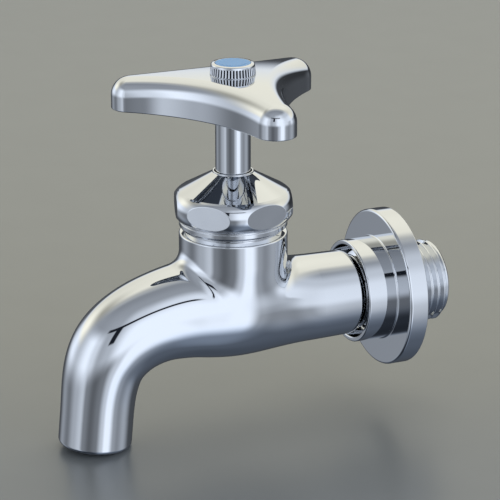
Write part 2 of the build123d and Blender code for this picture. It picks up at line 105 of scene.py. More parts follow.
def spline(stations):
    """A natural cubic through stations, each y, z, fall and radius, spaced by the distance between them.
    Returns the stations' places along it and a function for the values and slopes at any place."""
    values = stations.copy()
    values[:, 2] = np.radians(values[:, 2])
    knots = np.concatenate([[0.0], np.cumsum(np.linalg.norm(np.diff(values[:, :2], axis=0), axis=1))])
    gaps = np.diff(knots)[:, None]
    rises = np.diff(values, axis=0) / gaps
    inner = np.arange(1, len(knots) - 1)
    matrix = np.eye(len(knots))
    matrix[inner, inner - 1] = gaps[:-1, 0]
    matrix[inner, inner] = 2 * (gaps[:-1, 0] + gaps[1:, 0])
    matrix[inner, inner + 1] = gaps[1:, 0]
    load = np.zeros_like(values)
    load[inner] = 6 * np.diff(rises, axis=0)
    bend = np.linalg.solve(matrix, load)

    def at(place):
        span = np.clip(np.searchsorted(knots, place) - 1, 0, len(gaps) - 1)
        gap = gaps[span]
        left = (place - knots[span])[..., None]
        right = gap - left
        low, high = bend[span], bend[span + 1]
        value = (low * right ** 3 + high * left ** 3) / (6 * gap)
        value += (values[span] / gap - low * gap / 6) * right
        value += (values[span + 1] / gap - high * gap / 6) * left
        slope = (high * left ** 2 - low * right ** 2) / (2 * gap) + rises[span] - (high - low) * gap / 6
        return value, slope

    return knots, at


def tube_patch(at, place, turn):
    """Points and normals of a round tube: a circle square to the line's fall, at each place and turn."""
    value, slope = at(place)
    y, z, fall, radius = np.moveaxis(value, -1, 0)
    y_slope, z_slope, fall_slope, radius_slope = np.moveaxis(slope, -1, 0)
    zero = np.zeros_like(place + turn)
    down = np.stack([zero, zero - np.cos(fall), zero - np.sin(fall)], axis=-1)
    up = np.stack([zero, zero - np.sin(fall), zero + np.cos(fall)], axis=-1)
    side = np.array([1.0, 0.0, 0.0])
    cosine = (np.cos(turn) + zero)[..., None]
    sine = (np.sin(turn) + zero)[..., None]
    outward = cosine * side + sine * up
    radius = (radius + zero)[..., None]
    points = np.stack([zero, y + zero, z + zero], axis=-1) + radius * outward
    along = np.stack([zero, y_slope + zero, z_slope + zero], axis=-1)
    swung = radius * sine * (fall_slope + zero)[..., None] * down
    along += (radius_slope + zero)[..., None] * outward + swung
    normals = np.cross(along, cosine * up - sine * side)
    normals /= np.linalg.norm(normals, axis=-1, keepdims=True)
    normals *= np.sign((normals * outward).sum(axis=-1, keepdims=True))
    return points, normals


def grid_quads(rows, columns, ring=True):
    """The four corners of every cell of a grid of points; a ring's last column joins its first."""
    index = np.arange(rows * columns).reshape(rows, columns)
    if ring:
        index = np.concatenate([index, index[:, :1]], axis=1)
    corners = [index[:-1, :-1], index[:-1, 1:], index[1:, 1:], index[1:, :-1]]
    return np.stack(corners, axis=-1).reshape(-1, 4)


def rounded(corners, segments=6):
    """A profile's points and outward normals from its corners, each across, up and round. It is walked with
    the solid on the left. A corner with a round becomes an arc, and one without gets both its normals."""
    corners = np.array(corners, float)
    ways = np.diff(corners[:, :2], axis=0)
    ways /= np.linalg.norm(ways, axis=1, keepdims=True)
    faces = np.stack([ways[:, 1], -ways[:, 0]], axis=1)
    points = [corners[:1, :2]]
    normals = [faces[:1]]
    for corner, way, face, next_way, next_face in zip(corners[1:-1], ways, faces, ways[1:], faces[1:]):
        swing = math.atan2(way[0] * next_way[1] - way[1] * next_way[0], way @ next_way)
        if corner[2] == 0 or abs(swing) < 1e-6:
            points.append(np.stack([corner[:2], corner[:2]]))
            normals.append(np.stack([face, next_face]))
            continue
        start = corner[:2] - way * corner[2] * math.tan(abs(swing) / 2)
        centre = start - math.copysign(corner[2], swing) * face
        angle = math.atan2(face[1], face[0]) + np.linspace(0, swing, segments + 1)
        fan = np.stack([np.cos(angle), np.sin(angle)], axis=1)
        points.append(centre + math.copysign(corner[2], swing) * fan)
        normals.append(fan)
    points.append(corners[-1:, :2])
    normals.append(faces[-1:])
    return np.concatenate(points), np.concatenate(normals)


def around(profile, angles, base=0.0):
    """A profile carried round Z, or round an outline with its points as base and its outward turns as
    angles."""
    points, normals = profile
    outward = np.stack([np.cos(angles), np.sin(angles)], axis=-1)
    flat = base + points[:, None, :1] * outward[None]
    height = np.broadcast_to(points[:, None, 1:], flat[..., :1].shape)
    facing = normals[:, None, :1] * outward[None]
    tilt = np.broadcast_to(normals[:, None, 1:], facing[..., :1].shape)
    place = np.concatenate([flat, height], axis=-1)
    normal = np.concatenate([facing, tilt], axis=-1)
    return place, normal, grid_quads(len(points), len(angles))


def ring_angles(count):
    """Even turns round a circle, in radians."""
    return np.linspace(0, 2 * math.pi, count, endpoint=False)


def thread(major, depth, pitch, crest, flank, first, start, end, steps, run_in, run_out):
    """A right-handed screw thread about Z between two heights: one profile of root, flank and crest, wound
    round so that its far side meets its near side one turn on. The crest rises from the root at each end."""
    root = major - depth
    half = crest / 2 + flank
    soft = min(crest, depth) * 0.22
    section = rounded([
        (root, -pitch / 2, 0), (root, -half, soft), (major, -crest / 2, soft),
        (major, crest / 2, soft), (root, half, soft), (root, pitch / 2, 0),
    ], segments=3)
    opening = math.floor((start - first) / pitch) - 1
    turns = math.ceil((end - start) / pitch) + 3
    angle = np.linspace(0, 2 * math.pi * turns, steps * turns + 1)[:, None]
    height = first + pitch * (opening + angle / (2 * math.pi)) + section[0][:, 1]
    height = np.clip(height, start, end)
    climb = root + run_in * (height - start)
    drop = root + run_out * (end - height)
    radius = section[0][:, 0] + 0 * angle
    face = section[1][:, 0] + 0 * angle
    tilt = section[1][:, 1] + 0 * angle
    for limit, slope in ((climb, -run_in), (drop, run_out)):
        over = radius > limit
        length = math.hypot(1, slope)
        radius = np.where(over, limit, radius)
        face = np.where(over, 1 / length, face)
        tilt = np.where(over, slope / length, tilt)
    points = np.stack([radius * np.cos(angle), radius * np.sin(angle), height], axis=-1)
    lean = -tilt * pitch / (2 * math.pi * radius)
    normals = np.stack([
        face * np.cos(angle) - lean * np.sin(angle),
        face * np.sin(angle) + lean * np.cos(angle),
        tilt,
    ], axis=-1)
    normals /= np.linalg.norm(normals, axis=-1, keepdims=True)
    return points, normals, grid_quads(*radius.shape, ring=False)


def placed(patch, axes, origin):
    """A patch with its X, Y and Z laid along three axes and its zero moved to an origin."""
    axes = np.array(axes, float)
    return patch[0] @ axes + np.array(origin, float), patch[1] @ axes, patch[2]


def on_spindle(patch):
    """A patch made about Z, moved onto the spindle's axis."""
    return placed(patch, np.eye(3), (0, spindle_y, 0))


def on_inlet(patch):
    """A patch made about Z, laid along the inlet with its upper end in the wall."""
    return placed(patch, [(1, 0, 0), (0, 0, -1), (0, 1, 0)], (0, 0, 0))


def surface(name, patches, finish=None):
    """A mesh object from patches of points, normals and quads in millimetres. Points in one place are
    welded, quads that close up become triangles or go, faces are wound to their normals, and the normals
    are kept, so that a mirror finish shows the true curve. Finish gives each patch its material's number."""
    millimetre, weld = 0.001, 1e-6
    points = np.concatenate([patch[0].reshape(-1, 3) for patch in patches]) * millimetre
    normals = np.concatenate([patch[1].reshape(-1, 3) for patch in patches])
    begins = np.cumsum([0] + [patch[0].size // 3 for patch in patches[:-1]])
    corners = np.concatenate([patch[2] + begin for patch, begin in zip(patches, begins)])
    numbers = np.repeat(finish or [0] * len(patches), [len(patch[2]) for patch in patches])
    cross = np.cross(
        points[corners[:, 2]] - points[corners[:, 0]],
        points[corners[:, 3]] - points[corners[:, 1]],
    )
    inward = (cross * normals[corners].sum(axis=1)).sum(axis=1) < 0
    corners[inward] = corners[inward][:, ::-1]
    steps = np.round(points / weld).astype(np.int64)
    _, first, place = np.unique(steps, axis=0, return_index=True, return_inverse=True)
    welded = place.reshape(-1)[corners]
    kept = welded != np.roll(welded, -1, axis=1)
    sides = kept.sum(axis=1)
    good = (sides >= 3) & (welded[:, 0] != welded[:, 2]) & (welded[:, 1] != welded[:, 3])
    loops = corners[good][kept[good]]
    sides = sides[good]
    mesh = bpy.data.meshes.new(name)
    mesh.vertices.add(len(first))
    mesh.vertices.foreach_set("co", points[first].ravel())
    mesh.loops.add(len(loops))
    mesh.loops.foreach_set("vertex_index", place.reshape(-1)[loops])
    mesh.polygons.add(len(sides))
    mesh.polygons.foreach_set("loop_start", np.cumsum(sides) - sides)
    mesh.polygons.foreach_set("material_index", numbers[good])
    mesh.polygons.foreach_set("use_smooth", np.ones(len(sides), bool))
    mesh.update(calc_edges=True)
    mesh.normals_split_custom_set(normals[loops])
    made = bpy.data.objects.new(name, mesh)
    bpy.context.scene.collection.objects.link(made)
    return made


def level_surface(field, low, counts, step):
    """Where a field is zero in a box: one point in each cell of a grid that the surface crosses, one quad
    round each grid line that it cuts, and the cell that each point is in."""
    low = np.array(low, float)
    lines = [low[i] + step * np.arange(counts[i]) for i in range(3)]
    value = field(np.stack(np.meshgrid(*lines, indexing="ij"), axis=-1).reshape(-1, 3)).reshape(counts)
    cells = tuple(count - 1 for count in counts)
    total = np.zeros(cells + (3,))
    cuts = np.zeros(cells)
    edges = []
    for axis in range(3):
        one, two = [other for other in range(3) if other != axis]
        near = value.take(range(counts[axis] - 1), axis)
        far = value.take(range(1, counts[axis]), axis)
        cut = (near < 0) != (far < 0)
        share = np.where(cut, near / np.where(cut, near - far, 1), 0)
        for step_one in (0, 1):
            for step_two in (0, 1):
                part = [slice(None)] * 3
                part[one] = slice(step_one, step_one + cells[one])
                part[two] = slice(step_two, step_two + cells[two])
                here = cut[tuple(part)]
                cuts += here
                total[..., axis] += share[tuple(part)]
                total[..., one] += step_one * here
                total[..., two] += step_two * here
        edge = np.argwhere(cut)
        inside = [(edge[:, other] > 0) & (edge[:, other] < cells[other]) for other in (one, two)]
        edges.append((edge[inside[0] & inside[1]], one, two))
    active = cuts > 0
    number = np.full(cells, -1)
    number[active] = np.arange(active.sum())
    cell = np.argwhere(active)
    points = low + step * (cell + total[active] / cuts[active][:, None])
    quads = []
    for edge, one, two in edges:
        corners = []
        for step_one, step_two in ((0, 0), (1, 0), (1, 1), (0, 1)):
            corner = edge.copy()
            corner[:, one] -= step_one
            corner[:, two] -= step_two
            corners.append(number[tuple(corner.T)])
        quads.append(np.stack(corners, axis=-1))
    return points, np.concatenate(quads), cell


def steepest(field, points):
    """The gradient of a field, from its values a thousandth of a millimetre to each side."""
    reach = 1e-3
    parts = [field(points + reach * way) - field(points - reach * way) for way in np.eye(3)]
    return np.stack(parts, axis=-1) / (2 * reach)


tube_knots, tube_at = spline(tube_line)


def tube_field(points):
    """Height above the tube's skin, the outward way, and the place and turn on the tube."""
    across, y, z = points.T
    place = np.interp(-y, -tube_line[:, 0], tube_knots)
    for _ in range(4):
        value, slope = tube_at(place)
        sine, cosine = np.sin(value[:, 2]), np.cos(value[:, 2])
        back, rise = y - value[:, 0], z - value[:, 1]
        ahead = -back * cosine - rise * sine
        rate = slope[:, 0] * cosine + slope[:, 1] * sine + slope[:, 2] * (back * sine - rise * cosine)
        place = place - ahead / rate
    lift = -back * sine + rise * cosine
    reach = np.maximum(np.hypot(across, lift), 1e-9)
    outward = np.stack([across, -sine * lift, cosine * lift], axis=-1) / reach[:, None]
    return reach - value[:, 3], outward, place, np.arctan2(lift, across)


def casting_field(points):
    """Distance from the casting: barrel over an elliptic foot, and the tube. High up they are joined by a
    ball rolled along their meeting, whose centre is where both distances equal its radius. Lower down they
    melt together: the lesser distance, less the cube of how near the two are, with a slimmer barrel."""
    endless = 1e9
    tube, tube_way, _, _ = tube_field(points)
    place = points - np.array([0, spindle_y, foot_start])
    below = place[:, 2] < 0
    ring = np.hypot(place[:, 0], place[:, 1])
    foot_size, side_size = [barrel_radius, barrel_radius, foot_depth], [barrel_radius, barrel_radius, endless]
    size = np.where(below[:, None], foot_size, side_size)
    scaled = np.linalg.norm(place / size, axis=1)
    way = place / size ** 2
    steep = np.maximum(np.linalg.norm(way, axis=1), 1e-12)
    barrel = np.where(below, scaled * (scaled - 1) / steep, ring - barrel_radius)
    barrel_way = way / steep[:, None]
    cosine = (tube_way * barrel_way).sum(axis=1)
    square = np.maximum(1 - cosine ** 2, 1e-9)
    tube_gap, barrel_gap = join_round - tube, join_round - barrel
    in_corner = (tube_gap > barrel_gap * cosine) & (barrel_gap > tube_gap * cosine) & (square > 1e-4)
    in_corner &= (tube_gap > 0) & (barrel_gap > 0)
    length = np.sqrt((tube_gap ** 2 + barrel_gap ** 2 - 2 * tube_gap * barrel_gap * cosine).clip(0) / square)
    rolled = np.where(in_corner, join_round - length, np.minimum(tube, barrel))
    slim = barrel + melt_shrink
    near = np.clip(1 - np.abs(tube - slim) / melt_width, 0, 1)
    melted = np.minimum(tube, slim) - melt_width / 6 * near ** 3
    sunk = np.clip((melt_start - points[:, 2]) / (melt_start - melt_end), 0, 1)
    sunk = sunk ** 2 * (3 - 2 * sunk)
    return rolled * (1 - sunk) + melted * sunk


skin_low = (-14.4, -67.5, -13.35)
skin_counts = (65, 97, 75)
skin_step = 0.45
skin_high = [low + skin_step * (count - 1) for low, count in zip(skin_low, skin_counts)]
skin_points, skin_quads, skin_cell = level_surface(casting_field, skin_low, skin_counts, skin_step)
rims = {
    "spout": (skin_cell[:, 1] == 0, 1, skin_low[1]),
    "leg": (skin_cell[:, 1] == skin_counts[1] - 2, 1, skin_high[1]),
    "barrel": (skin_cell[:, 2] == skin_counts[2] - 2, 2, skin_high[2]),
}
free = np.ones_like(skin_points)
for on_rim, axis, level in rims.values():
    skin_points[on_rim, axis] = level
    free[on_rim, axis] = 0
for _ in range(4):
    slope = steepest(casting_field, skin_points) * free
    skin_points -= slope * (casting_field(skin_points) / (slope ** 2).sum(axis=1))[:, None]
skin_normals = steepest(casting_field, skin_points)
skin_normals /= np.linalg.norm(skin_normals, axis=1, keepdims=True)
casting = [(skin_points, skin_normals, skin_quads)]


def tube_from_rim(rim, end, rows):
    """Carries the tube on from a rim of the skin to a place on its line, and returns the rim's turns."""
    _, _, place, turn = tube_field(skin_points[rims[rim][0]])
    order = np.argsort(turn)
    place, turn = place[order], turn[order]
    steps = place + (end - place) * np.linspace(0, 1, rows)[:, None]
    casting.append((*tube_patch(tube_at, steps, turn + 0 * steps), grid_quads(*steps.shape)))
    return turn


spout_turn = tube_from_rim("spout", tube_knots[-1], 66)

leg_end, leg_chamfer = -13.9, 0.35
leg_turn = tube_from_rim("leg", leg_chamfer, 16)
leg_last_radius = tube_at(np.array([leg_chamfer]))[0][0, 3]
leg_bevel_start, leg_bevel_radius = -14.12, 10.6
relief_radius = 9.1655
leg_rim = rounded([
    (leg_last_radius, leg_end - leg_chamfer, 0), (leg_last_radius, leg_bevel_start, 0.12),
    (leg_bevel_radius, leg_end, 0.12), (relief_radius, leg_end, 0),
])
casting.append(on_inlet(around(leg_rim, -leg_turn)))

rim = skin_points[rims["barrel"][0]]
barrel_turn = np.sort(np.arctan2(rim[:, 1] - spindle_y, rim[:, 0]))
neck_root, neck_foot, neck_top = 12.09, 21.15, 29.0
shoulder = rounded([
    (barrel_radius, skin_high[2], 0), (barrel_radius, barrel_top, 0.45), (neck_root, barrel_top, 0),
])
casting.append(on_spindle(around(shoulder, barrel_turn)))

tip_fall = math.radians(tube_line[-1, 2])
tip_axes = [
    (1, 0, 0),
    (0, -math.sin(tip_fall), math.cos(tip_fall)),
    (0, -math.cos(tip_fall), -math.sin(tip_fall)),
]
tip_origin = (0, *tube_line[-1, :2])
tip_reach, mouth_reach, tip_length = tube_line[-1, 3], water_line[-1, 3], 8.3
tip_rim = rounded([
    (tip_reach, 0, 0), (tip_reach, tip_length, 1.1), (mouth_reach, tip_length, 0.25), (mouth_reach, 0, 0),
], segments=10)
casting.append(placed(around(tip_rim, spout_turn), tip_axes, tip_origin))
water_knots, water_at = spline(water_line)
chamber_wall_place = 5.8
water_rows = np.linspace(water_knots[-1], chamber_wall_place, 50)[:, None] + 0 * spout_turn
water_points, water_normals = tube_patch(water_at, water_rows, spout_turn + 0 * water_rows)
casting.append((water_points, -water_normals, grid_quads(*water_rows.shape)))

neck_turn = ring_angles(144)
neck_relief = rounded([(neck_root, barrel_top, 0), (neck_root, neck_foot, 0)])
casting.append(on_spindle(around(neck_relief, neck_turn)))
casting.append(on_spindle(thread(
    major=12.9, depth=0.81, pitch=1.27, crest=0.22, flank=0.4217,
    first=19.33, start=neck_foot, end=neck_top, steps=144, run_in=2.0, run_out=1.15,
)))
# Inside the barrel, from the top: the packing's recess with a bevel at its floor, the spindle's bore,
# the chamber with the seat standing up from its floor, and the inlet's chamber under the seat.
gland_radius, gland_floor, gland_bevel_radius, gland_bevel_foot = 9.7, 27.1, 9.0, 26.0
spindle_bore_radius, spindle_bore_foot = 8.9, 13.2
chamber_radius, chamber_floor = 10.0, 0.8
seat_foot_radius, seat_rim_radius, seat_hole_radius, seat_top = 7.4, 6.0, 5.5, 2.0
under_radius, under_roof, under_floor, under_round = 9.2, -2.0, -8.9, 5.9
barrel_inside = rounded([
    (neck_root, neck_top, 0), (gland_radius, neck_top, 0.15), (gland_radius, gland_floor, 0),
    (gland_bevel_radius, gland_bevel_foot, 0), (spindle_bore_radius, gland_bevel_foot, 0.1),
    (spindle_bore_radius, spindle_bore_foot, 0.3), (chamber_radius, spindle_bore_foot, 0),
    (chamber_radius, chamber_floor, 0.6), (seat_foot_radius, chamber_floor, 0.3),
    (seat_rim_radius, seat_top, 0.15), (seat_hole_radius, seat_top, 0.1), (seat_hole_radius, under_roof, 0.2),
    (under_radius, under_roof, 0.3), (under_radius, under_floor, under_round), (0, under_floor, 0),
])
casting.append(on_spindle(around(barrel_inside, neck_turn)))
tap_body = surface("tap_body_casting", casting)

nipple_turn = ring_angles(120)
pipe_root, pipe_start, pipe_end = 9.3155, -11.9, 11.5
bore_reach, bore_end, passage_length = 6.5, -24.0, 16.5
relief = rounded([(relief_radius, leg_end, 0), (relief_radius, pipe_start, 0), (pipe_root, pipe_start, 0)])
nipple_end = rounded([(pipe_root, pipe_end, 0), (bore_reach, pipe_end, 0.2), (bore_reach, bore_end, 0)])
passage_drop, passage_widen, passage_flatten, passage_haste = 5.3, 0.3, 3.2, 1.65
passage_share = np.linspace(0, 1, 20)[:, None]
passage_bend = np.clip(passage_share * passage_haste, 0, 1)
passage_bend = passage_bend ** 2 * (3 - 2 * passage_bend)
passage_y = bore_end - passage_length * passage_share + 0 * nipple_turn
passage_x = (bore_reach + passage_widen * passage_bend) * np.cos(nipple_turn)
passage_z = (bore_reach - passage_flatten * passage_bend) * np.sin(nipple_turn) - passage_drop * passage_bend
passage_points = np.stack([passage_x, passage_y, passage_z], axis=-1)
level = 0 * passage_x
passage_normals = np.stack([level - np.cos(nipple_turn), level, level - np.sin(nipple_turn)], axis=-1)
nipple = surface("tap_body_inlet_nipple", [
    on_inlet(around(relief, nipple_turn)),
    on_inlet(thread(
        major=10.4775, depth=1.162, pitch=1.814, crest=0.30, flank=0.6049,
        first=-15.714, start=pipe_start, end=pipe_end, steps=120, run_in=1.6, run_out=1.05,
    )),
    on_inlet(around(nipple_end, nipple_turn)),
    (passage_points, passage_normals, grid_quads(*passage_x.shape)),
])


def colour(code):
    """A colour written as a web code, in the linear values that a shader takes."""
    parts = [int(code[i:i + 2], 16) / 255 for i in (1, 3, 5)]
    return [part / 12.92 if part <= 0.04045 else ((part + 0.055) / 1.055) ** 2.4 for part in parts] + [1.0]


def node(tree, kind, inputs=None, **settings):
    """Adds a node. Its settings are given by name, and each input is a value or another node's output."""
    made = tree.nodes.new(kind)
    for key, value in settings.items():
        setattr(made, key, value)
    for key, value in (inputs or {}).items():
        if isinstance(value, bpy.types.NodeSocket):
            tree.links.new(value, made.inputs[key])
        else:
            made.inputs[key].default_value = value
    return made


def material(name):
    """A new material with its node tree and main shader."""
    made = bpy.data.materials.new(name)
    made.use_nodes = True
    return made, made.node_tree, made.node_tree.nodes["Principled BSDF"]


def mottled(tree, shader, size, detail, dark, light):
    """Gives a shader clouds of two near colours, a size in millimetres across, and returns the clouds."""
    place = node(tree, "ShaderNodeTexCoord").outputs["Object"]
    clouds = node(tree, "ShaderNodeTexNoise", {"Vector": place, "Scale": 1000 / size, "Detail": detail})
    tone = node(tree, "ShaderNodeValToRGB", {"Fac": clouds.outputs["Fac"]})
    tone.color_ramp.elements[0].color = colour(dark)
    tone.color_ramp.elements[1].color = colour(light)
    tree.links.new(tone.outputs["Color"], shader.inputs["Base Color"])
    return clouds.outputs["Fac"]


def chromed(name, code, swell, haze):
    """Bright nickel-chrome plate over polished brass. Swell is the height in metres of the slow waves that
    grinding leaves, and haze the roughness that polishing leaves, up to 1.7 times that in patches. The
    waves' length and the patches' size are in millimetres."""
    wave_length, patch_size = 10.53, 4.76
    made, tree, shader = material(name)
    place = node(tree, "ShaderNodeTexCoord").outputs["Object"]
    patches = node(tree, "ShaderNodeTexNoise", {"Vector": place, "Scale": 1000 / patch_size, "Detail": 3.0})
    rough = node(tree, "ShaderNodeMapRange", {
        "Value": patches.outputs["Fac"], "From Min": 0.3, "From Max": 0.7,
        "To Min": haze, "To Max": haze * 1.7,
    })
    waves = node(tree, "ShaderNodeTexNoise", {"Vector": place, "Scale": 1000 / wave_length, "Detail": 1.0})
    bump = node(tree, "ShaderNodeBump", {"Height": waves.outputs["Fac"], "Strength": 1.0, "Distance": swell})
    tree.links.new(bump.outputs["Normal"], shader.inputs["Normal"])
    tree.links.new(rough.outputs["Result"], shader.inputs["Roughness"])
    shader.inputs["Base Color"].default_value = colour(code)
    shader.inputs["Metallic"].default_value = 1.0
    return made


# Polished by hand over a casting: the waves are the largest of all the chromed pieces.
plate = "#DADCDF"
chrome_on_casting = chromed("chrome_plate_on_polished_casting", plate, swell=1.0e-5, haze=0.018)
# Turned on a lathe and buffed: nearly true.
chrome_on_turned = chromed("chrome_plate_on_turned_brass", plate, swell=3e-6, haze=0.02)
tap_body.data.materials.append(chrome_on_casting)
nipple.data.materials.append(chrome_on_turned)
for piece in (tap_body, nipple):
    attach(piece, "tap")
    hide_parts("tap_body")


# Bonnet nut. Turned from brass bar: a domed side milled with six flats that leave the dome
# between them, a conical roof, and a lip and groove at its foot. Flats are left satin.
nut_widest_z = 27.6
nut_flat_reach = 28.7 / 2
nut_flats_turn = math.radians(12.0)
dome_bottom, dome_top = 23.85, 31.1
nut_lip_radius, nut_foot, nut_lip_top = 13.55, 22.3, 23.5
nut_collar_radius, nut_hole_radius, nut_collar_top, roof_top = 5.1, 4.7, 36.4, 36.05
nut_bore_radius, nut_bore_top, washer_room_radius, washer_room_top = 12.95, 29.2, 9.85, 32.25
dome_knots = np.array([(13.3, dome_bottom), (15.5, nut_widest_z), (13.45, 31.45)])
dome_lines = np.stack([2 * (dome_knots[1] - dome_knots[0]), 2 * (dome_knots[2] - dome_knots[0])])
dome_sums = (dome_knots[1:] ** 2).sum(axis=1) - (dome_knots[0] ** 2).sum()
dome_centre = np.linalg.solve(dome_lines, dome_sums)
dome_radius = np.linalg.norm(dome_knots[0] - dome_centre)


def dome(turn, height):
    """The nut's turned side at each turn and height: an arc in section, carried round Z."""
    rise = (height - dome_centre[1]) / dome_radius
    face = np.sqrt(1 - rise ** 2)
    radius = dome_centre[0] + dome_radius * face
    points = np.stack([radius * np.cos(turn), radius * np.sin(turn), height + 0 * turn], axis=-1)
    normals = np.stack([face * np.cos(turn), face * np.sin(turn), rise + 0 * turn], axis=-1)
    return points, normals


def nut_sector(across, upward):
    """One sixth of the nut's side, about +X. Rays run from the flat's middle to points evenly spaced round
    the sector's edge, which its neighbours share. The crease is where a ray's dome meets the flat's plane,
    and a narrow band on each side of it turns from one normal to the other, as buffing rounds an edge."""
    half = math.pi / 6
    turns = np.linspace(-half, half, across + 1)
    heights = np.linspace(dome_bottom, dome_top, upward + 1)
    low_edge, high_edge = np.full(across, dome_bottom), np.full(across, dome_top)
    edge_turn = np.concatenate([turns[:-1], np.full(upward, half), turns[:0:-1], np.full(upward, -half)])
    edge_height = np.concatenate([low_edge, heights[:-1], high_edge, heights[:0:-1]])
    near, far = np.zeros_like(edge_turn), np.ones_like(edge_turn)
    for _ in range(40):
        middle = (near + far) / 2
        turn, height = edge_turn * middle, nut_widest_z + (edge_height - nut_widest_z) * middle
        outside = dome(turn, height)[0][:, 0] > nut_flat_reach
        near = np.where(outside, middle, near)
        far = np.where(outside, far, middle)
    crease = (near + far) / 2
    rows = np.concatenate([[0, 0.02, 0.045], np.linspace(0.1, 1, 9)])[:, None]
    share = crease + (1 - crease) * rows
    side_points, side_normals = dome(edge_turn * share, nut_widest_z + (edge_height - nut_widest_z) * share)
    blend = np.array([0.5, 0.2] + [0.0] * (len(rows) - 2))[:, None, None]
    flat_way = np.array([1.0, 0.0, 0.0])
    side_normals = side_normals * (1 - blend) + flat_way * blend
    side_normals /= np.linalg.norm(side_normals, axis=-1, keepdims=True)
    middle = np.array([nut_flat_reach, 0, nut_widest_z])
    rows = np.array([0, 0.3, 0.6, 0.8, 0.9, 0.955, 0.98, 1.0])[:, None, None]
    flat_points = middle + (side_points[0] - middle) * rows
    blend = np.array([0.0] * 6 + [0.35, 1.0])[:, None, None]
    flat_normals = flat_way * (1 - blend) + side_normals[0] * blend
    flat_normals /= np.linalg.norm(flat_normals, axis=-1, keepdims=True)
    side = (side_points, side_normals, grid_quads(*side_points.shape[:2]))
    flat = (flat_points, flat_normals, grid_quads(*flat_points.shape[:2]))
    return side, flat


nut_across, nut_upward = 40, 20
nut_patches, nut_finish = [], []
sector = nut_sector(nut_across, nut_upward)
for number in range(6):
    turn = nut_flats_turn + number * math.pi / 3
    turned_axes = [(math.cos(turn), math.sin(turn), 0), (-math.sin(turn), math.cos(turn), 0), (0, 0, 1)]
    nut_patches += [placed(patch, turned_axes, (0, spindle_y, 0)) for patch in sector]
    nut_finish += [0, 1]
nut_angles = nut_flats_turn + ring_angles(6 * nut_across) - math.pi / 6
dome_rim = dome(np.zeros(1), np.array([dome_top]))[0][0, 0]
nut_rest = rounded([
    (dome_rim, dome_top, 0), (*dome_knots[2], 0.3), (nut_collar_radius, roof_top, 0.15),
    (nut_collar_radius, nut_collar_top, 0.12), (nut_hole_radius, nut_collar_top, 0.12),
    (nut_hole_radius, washer_room_top, 0.1), (washer_room_radius, washer_room_top, 0),
    (washer_room_radius, nut_bore_top, 0.1), (nut_bore_radius, nut_bore_top, 0.1),
    (nut_bore_radius, nut_foot, 0.2), (nut_lip_radius, nut_foot, 0.3), (nut_lip_radius, nut_lip_top, 0.1),
    (dome_knots[0, 0], nut_lip_top, 0.05), (*dome_knots[0], 0),
])
nut_patches.append(on_spindle(around(nut_rest, nut_angles)))
nut_finish.append(0)
bonnet_nut = surface("bonnet_nut_domed_hexagon", nut_patches, nut_finish)
bonnet_nut.data.materials.append(chrome_on_turned)
# Milled flats, plated but buffed less than the rest: their reflection is blurred.
satin_flat = chromed("chrome_plate_on_milled_flat", plate, swell=2e-6, haze=0.10)
bonnet_nut.data.materials.append(satin_flat)
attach(bonnet_nut, "tap")
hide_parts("bonnet_nut")


# Wall flange. Turned brass disc with a collar that slips over the leg's end, screwed up
# the inlet thread to the wall; its back is hollowed so that only the rim bears on the tiles.
flange_turn = ring_angles(240)
bore_radius, collar_radius, disc_radius = 10.5375, 13.25, 20.25
disc_front, collar_front = -5.1, -13.1
collar_inside, collar_floor = 12.0, -4.6
rim_inside, hub_outside, back_floor = 18.2, 12.6, -1.5
flange_profile = rounded([
    (bore_radius, 0, 0), (bore_radius, collar_floor, 0.1), (collar_inside, collar_floor, 0),
    (collar_inside, collar_front, 0.4), (collar_radius, collar_front, 0.4), (collar_radius, disc_front, 0.4),
    (disc_radius, disc_front, 0.7), (disc_radius, 0, 0.3), (rim_inside, 0, 0.15),
    (rim_inside, back_floor, 0.2), (hub_outside, back_floor, 0.2), (hub_outside, 0, 0.15),
    (bore_radius, 0, 0),
])
wall_flange = surface("wall_flange_disc_and_collar", [on_inlet(around(flange_profile, flange_turn))])
wall_flange.data.materials.append(chrome_on_turned)
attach(wall_flange, "flange")
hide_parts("wall_flange")


# Handle. Die-cast shell with three arms, polished and chromed: upright walls, a large round
# into a gently crowned top, hollow underneath, with a serrated boss that drops onto the
# spindle and a flat seat for the cap screw.
handle_bottom, handle_seat = 51.6, 60.85
handle_reach, handle_waist, arm_end_radius = 25.2, 13.2, 5.0
handle_turn = math.radians(0.6)
handle_round = 4.6
shell_wall, shell_ceiling, ceiling_inset, wall_split = 2.2, 57.65, 4.6, 54.0
boss_radius, boss_mouth, boss_hole, boss_shoulder = 7.2, 4.6, 3.93, 52.4
seat_radius = 6.4
crown_radius = 256.0
crown_centre = handle_seat + 0.08 - crown_radius
hollow_radius = (
    handle_waist ** 2 + handle_reach ** 2 - handle_waist * handle_reach - arm_end_radius ** 2
) / (handle_reach + 2 * arm_end_radius - 2 * handle_waist)


def handle_outline(tip_steps, side_steps):
    """The plan as points and outward turns: each arm's end is a short arc, and a long hollow arc, which
    touches both ends, runs to the next arm."""
    points, turns = [], []
    for arm in range(3):
        ahead = handle_turn + arm * 2 * math.pi / 3
        tip = handle_reach * np.array([math.cos(ahead), math.sin(ahead)])
        between = ahead + math.pi / 3
        hollow = (handle_waist + hollow_radius) * np.array([math.cos(between), math.sin(between)])
        aim = math.atan2(*(hollow - tip)[::-1])
        half = (aim - ahead + math.pi) % (2 * math.pi) - math.pi
        turn = ahead + np.linspace(-half, half, tip_steps, endpoint=False)
        points.append(tip + arm_end_radius * np.stack([np.cos(turn), np.sin(turn)], axis=1))
        turns.append(turn)
        spread = (aim - between + math.pi) % (2 * math.pi) - math.pi
        turn = between + np.linspace(spread, -spread, side_steps, endpoint=False)
        points.append(hollow - hollow_radius * np.stack([np.cos(turn), np.sin(turn)], axis=1))
        turns.append(turn)
    return np.concatenate(points), np.concatenate(turns)


